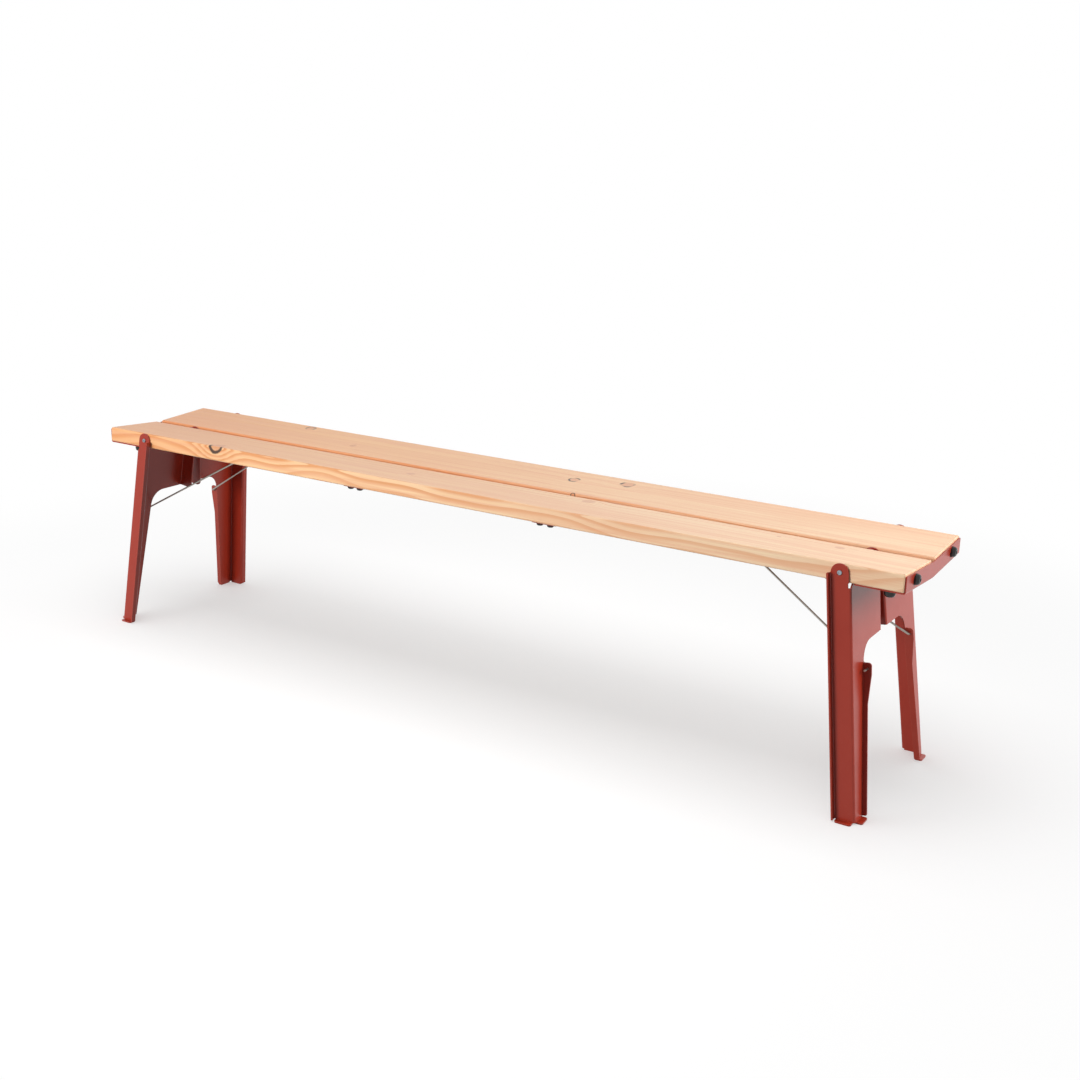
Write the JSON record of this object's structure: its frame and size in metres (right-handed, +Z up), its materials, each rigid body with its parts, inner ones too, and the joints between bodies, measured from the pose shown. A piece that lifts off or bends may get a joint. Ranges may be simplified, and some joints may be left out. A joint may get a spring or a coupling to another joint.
{
  "type": "beer bench",
  "caption": "Folding beer bench: pine planks in a shallow V on folded sheet-steel leg halves that swing in under the seat, each held open by a wire stay.",
  "frame": {"origin": "on the floor, under the middle of the seat", "axes": "X along the bench, +Y towards the back, +Z up"},
  "size_m": [2.0244, 0.4028, 0.4801],
  "materials": {
    "pine": "planed, clear-lacquered, semi-matte",
    "red_steel": "oxide-red powder coat, satin",
    "black_steel": "black, glossy",
    "zinc": "bright zinc plated",
    "stainless": "bright drawn wire",
    "brass": "plain"
  },
  "bodies": {
    "seat": {"front_plank": "pine", "back_plank": "pine", "left_end_bracket": "red_steel", "left_tie_plate": "red_steel", "right_end_bracket": "red_steel", "right_tie_plate": "red_steel", "left_front_catch": "red_steel", "left_back_catch": "red_steel", "right_front_catch": "red_steel", "right_back_catch": "red_steel", "left_end_bolts": "black_steel", "left_end_washers": "black_steel", "left_flange_bolts": "black_steel", "left_flange_washers": "black_steel", "left_tie_bolts": "black_steel", "left_tie_washers": "black_steel", "right_end_bolts": "black_steel", "right_end_washers": "black_steel", "right_flange_bolts": "black_steel", "right_flange_washers": "black_steel", "right_tie_bolts": "black_steel", "right_tie_washers": "black_steel", "outer_pivot_screws": "zinc", "inner_pivot_screws": "zinc", "pivot_inserts": "brass", "catch_screws": "zinc"},
    "left_front_leg": {"left_front_leg": "red_steel"},
    "left_front_stay": {"left_front_stay": "stainless"},
    "left_back_leg": {"left_back_leg": "red_steel"},
    "left_back_stay": {"left_back_stay": "stainless"},
    "right_front_leg": {"right_front_leg": "red_steel"},
    "right_front_stay": {"right_front_stay": "stainless"},
    "right_back_leg": {"right_back_leg": "red_steel"},
    "right_back_stay": {"right_back_stay": "stainless"}
  },
  "joints": [
    {"name": "left_front_leg_fold", "type": "hinge", "parent": "seat", "child": "left_front_leg", "pos_m": [-0.882, -0.15679, 0.46304], "axis": [0, -0.9979, 0.0645], "range_deg": [0, 97.2]},
    {"name": "left_front_stay_swing", "type": "hinge", "parent": "left_front_leg", "child": "left_front_stay", "pos_m": [-0.93477, -0.10968, 0.27728], "axis": [0, -0.9979, 0.0645], "range_deg": [-127.6, 0]},
    {"name": "left_back_leg_fold", "type": "hinge", "parent": "seat", "child": "left_back_leg", "pos_m": [-0.882, 0.15679, 0.46304], "axis": [0, -0.9979, -0.0645], "range_deg": [0, 97.2]},
    {"name": "left_back_stay_swing", "type": "hinge", "parent": "left_back_leg", "child": "left_back_stay", "pos_m": [-0.93477, 0.10968, 0.27728], "axis": [0, -0.9979, -0.0645], "range_deg": [-127.6, 0]},
    {"name": "right_front_leg_fold", "type": "hinge", "parent": "seat", "child": "right_front_leg", "pos_m": [0.882, -0.15679, 0.46304], "axis": [0, 0.9979, -0.0645], "range_deg": [0, 97.2]},
    {"name": "right_front_stay_swing", "type": "hinge", "parent": "right_front_leg", "child": "right_front_stay", "pos_m": [0.93477, -0.10968, 0.27728], "axis": [0, 0.9979, -0.0645], "range_deg": [-127.6, 0]},
    {"name": "right_back_leg_fold", "type": "hinge", "parent": "seat", "child": "right_back_leg", "pos_m": [0.882, 0.15679, 0.46304], "axis": [0, 0.9979, 0.0645], "range_deg": [0, 97.2]},
    {"name": "right_back_stay_swing", "type": "hinge", "parent": "right_back_leg", "child": "right_back_stay", "pos_m": [0.93477, 0.10968, 0.27728], "axis": [0, 0.9979, 0.0645], "range_deg": [-127.6, 0]}
  ],
  "couplings": [
    {"joint": "left_front_stay_swing", "follows": "left_front_leg_fold", "ratio": -1.3124},
    {"joint": "left_back_stay_swing", "follows": "left_back_leg_fold", "ratio": -1.3124},
    {"joint": "right_front_stay_swing", "follows": "right_front_leg_fold", "ratio": -1.3124},
    {"joint": "right_back_stay_swing", "follows": "right_back_leg_fold", "ratio": -1.3124}
  ]
}
